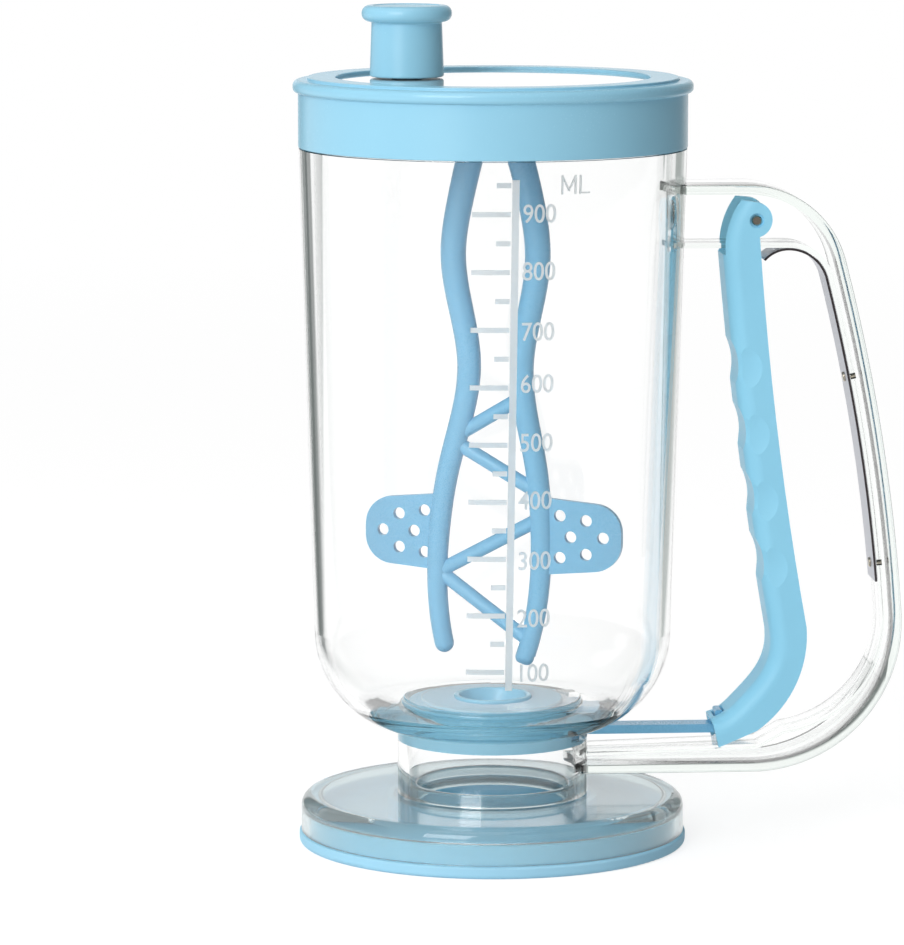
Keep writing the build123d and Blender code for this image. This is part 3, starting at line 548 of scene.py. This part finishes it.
# ---------------------------------------------------------------- crank disc
# Pale translucent disc that turns in the lid's recess, with a glossy top from a polished
# mould and a little milkiness inside.
def milky_plastic():
    finish = Finish("milky_plastic")
    cloud = finish.noise(0.02, 3.0)
    shader = finish.node("ShaderNodeBsdfPrincipled", {}, {
        "Base Color": finish.blend(cloud, tint(214, 220, 219), tint(222, 227, 226)),
        "Roughness": 0.03 + 0.03 * cloud,
        "IOR": 1.5,
        "Coat Weight": 1.0,
        "Coat Roughness": 0.02,
        "Normal": finish.bump(finish.noise(0.01, 1.0), 0.000004, 0.5),
    })
    return finish.output(shader)


dress("crank_disc", milky_plastic())


# ---------------------------------------------------------------- floor
# Matt white floor, wide enough to meet the studio's walls. It looks white to the camera and to
# clear plastic, and keeps the shadow. Two dark cards stand behind the object, one on each side.
floor_radius = 12.0
floor_fade = (0.35, 1.6)             # the paint gives way to a plain glow over this stretch
near_glow = 0.775
shadow_paint = grey(0.38)            # what the camera sees the shadow on
bounce_paint = grey(0.8)             # what throws light back up at the object
clear_gain = 0.08                    # makes up for what clear plastic reflects away
view_turn = radians(4.0)             # how far the view is turned from square on to the handle
to_right = Vector((cos(view_turn), -sin(view_turn), 0))
away = Vector((sin(view_turn), cos(view_turn), 0))
cards_middle = 0.02                  # the gap between the cards has its middle this far right
card_inner_edge = (0.10, 0.14)       # from the middle, beside the object
card_inner_slant = 0.26              # how far an edge runs outwards for each metre back
card_outer_edge = (0.06, 0.16)
card_outer_slant = 0.66
left_card = (0.19, 0.21, 0.205, 1.0)
right_card = (0.46, 0.50, 0.485, 1.0)
right_card_gloss = 0.3               # how much of the right card the first gloss sees
flag_edge = (0.05, 0.35)
flag_slant = 0.45
flag_shade = 0.8
floor_shape = bmesh.new()
bmesh.ops.create_circle(floor_shape, cap_ends=True, radius=floor_radius, segments=64)
floor_mesh = mesh_of("floor", floor_shape)
floor = placed("floor", floor_mesh)
floor_finish = Finish("floor")


def light_path(finish, output):
    return finish.node("ShaderNodeLightPath", output=output)


def seen_rays(finish):
    """1 for what the camera sees, straight or by way of gloss and clear plastic."""
    straight, glossy, through = [light_path(finish, ray) for ray in
                                 ("Is Camera Ray", "Is Glossy Ray", "Is Transmission Ray")]
    return straight.maths("MAXIMUM", straight, glossy.maths("MAXIMUM", glossy, through))


def first_gloss(finish):
    """1 for what shows in gloss that hasn't yet gone through clear plastic."""
    depth = light_path(finish, "Transmission Depth")
    return light_path(finish, "Is Glossy Ray") * (1.0 - depth.maths("MINIMUM", depth, 1.0))


def within(finish, value, start, end):
    """0 at the start and 1 at the end, with a straight climb between them."""
    return finish.node("ShaderNodeMapRange", {}, {"Value": value, "From Min": start, "From Max": end})


def along_axis(finish, vector, axis):
    return finish.node("ShaderNodeVectorMath", {"operation": "DOT_PRODUCT"}, {0: vector, 1: axis}, "Value")


spot = floor_finish.place()
sideways = along_axis(floor_finish, spot, to_right) - cards_middle
behind = along_axis(floor_finish, spot, away)

# A flag on the right keeps the gloss of the coloured plastic dark there.
flag = within(floor_finish, sideways - behind * flag_slant, *flag_edge)
flag = flag * first_gloss(floor_finish) * flag_shade

# Far away the floor only glows, so that it meets the white studio without a line.
far = floor_finish.node("ShaderNodeVectorMath", {"operation": "LENGTH"}, {0: spot}, "Value")
far = within(floor_finish, far, *floor_fade)
thin_paint = floor_finish.node("ShaderNodeBsdfDiffuse", {}, {
    "Color": floor_finish.blend(far, shadow_paint, grey(0.0))})
gain = 1.0 + light_path(floor_finish, "Is Transmission Ray") * clear_gain
glow = floor_finish.node("ShaderNodeEmission", {}, {
    "Strength": (near_glow + far * (1.0 - near_glow)) * (1.0 - flag) * gain})
white_floor = floor_finish.node("ShaderNodeAddShader", {}, {0: thin_paint, 1: glow})

# Each card spreads like a wedge from the object. Clear plastic sees both, and the first gloss
# sees less of the right one.
aside = sideways.maths("ABSOLUTE", sideways, 0.0)
card = within(floor_finish, aside - behind * card_inner_slant, *card_inner_edge)
card = card * (1.0 - within(floor_finish, aside - behind * card_outer_slant, *card_outer_edge))
glossy_right = first_gloss(floor_finish) * within(floor_finish, sideways, 0.0, 0.1)
card = card * (1.0 - light_path(floor_finish, "Is Camera Ray"))
card = card * (1.0 - glossy_right * (1.0 - right_card_gloss))
cards = floor_finish.node("ShaderNodeEmission", {}, {
    "Color": floor_finish.blend(within(floor_finish, sideways, -0.1, 0.1), left_card, right_card)})
swept = floor_finish.node("ShaderNodeMixShader", {}, {0: card, 1: white_floor, 2: cards})
paint = floor_finish.node("ShaderNodeBsdfDiffuse", {}, {"Color": bounce_paint})
floor_mesh.materials.append(floor_finish.output(floor_finish.node(
    "ShaderNodeMixShader", {}, {0: seen_rays(floor_finish), 1: paint, 2: swept})))


# ---------------------------------------------------------------- light
# Soft daylight-white studio: an even sky that darkens to the right, a large softbox in front on
# the left and a small one above. The cards of the floor go on in the sky, for clear edges.
sky_left = grey(0.84)                # what lights matt surfaces from each side
sky_right = grey(0.07)
clear_white = grey(1.05)             # white for clear plastic and for gloss that looks straight ahead
clear_sides = grey(0.92)             # the studio's sides through clear plastic
gloss_sides = grey(0.22)             # and in gloss
card_far_side = (0.78, 0.86)         # the cards' edges in the sky, by how far ahead they are
card_near_middle = (0.945, 0.960)
world = bpy.data.worlds.new("studio")
bpy.context.scene.world = world
world.use_nodes = True
sky = Finish("", world.node_tree)
direction = sky.node("ShaderNodeTexCoord", output="Generated")
sideways = along_axis(sky, direction, to_right)
ahead = along_axis(sky, direction, away)      # 1 straight ahead, 0 at the sides
card = within(sky, ahead, *card_far_side) * (1.0 - within(sky, ahead, *card_near_middle))
card_tone = sky.blend(within(sky, sideways, -0.2, 0.2), left_card, right_card)
sides = sky.blend(light_path(sky, "Is Glossy Ray"), clear_sides, gloss_sides)
sweep = sky.blend(within(sky, ahead, 0.7, 0.95), sides, clear_white)
straight = light_path(sky, "Is Camera Ray")
seen = sky.blend(card * (1.0 - straight), sweep, card_tone)
seen = sky.blend(straight, seen, grey(1.0))
plain = sky.node("ShaderNodeBackground", {}, {"Color": sky.blend(sideways * 0.5 + 0.5, sky_left, sky_right)})
studio = sky.node("ShaderNodeBackground", {}, {"Color": seen})
mixed = sky.node("ShaderNodeMixShader", {}, {0: seen_rays(sky), 1: plain, 2: studio})
world_out = sky.tree.nodes.new("ShaderNodeOutputWorld")
sky.tree.links.new(mixed.socket, world_out.inputs["Surface"])
lit_point = Vector((0, 0, 0.11))     # the jar's middle


def softbox(name, spot, width, height, power):
    """Rectangular area lamp that faces the jar's middle."""
    lamp = bpy.data.lights.new(name, "AREA")
    lamp.shape = "RECTANGLE"
    lamp.size = width
    lamp.size_y = height
    lamp.energy = power
    box = placed(name, lamp)
    box.location = spot
    box.rotation_euler = (lit_point - spot).to_track_quat("-Z", "Y").to_euler()


key_spot = to_right * -0.6 - away * 1.12 + Vector((0, 0, 0.7))
top_spot = to_right * -0.1 - away * 0.2 + Vector((0, 0, 1.2))
softbox("key_softbox", key_spot, width=0.7, height=0.9, power=10.0)
softbox("top_softbox", top_spot, width=0.7, height=0.7, power=1.6)


# ---------------------------------------------------------------- camera
# Long lens, level with the top of the jar and a little left of its axis, looking slightly down.
eye_distance = 1.378
eye_height = 0.2902
eye_left = 0.01076
eye_dip = radians(7.9)
camera = bpy.data.cameras.new("camera")
camera.lens = 200.0
camera.sensor_width = 36.0
camera.clip_end = 50.0
eye = placed("camera", camera)
eye.location = away * -eye_distance - to_right * eye_left + Vector((0, 0, eye_height))
gaze = away * cos(eye_dip) - Vector((0, 0, sin(eye_dip)))
eye.rotation_euler = gaze.to_track_quat("-Z", "Y").to_euler()
bpy.context.scene.camera = eye
bpy.context.scene.view_settings.view_transform = "Standard"
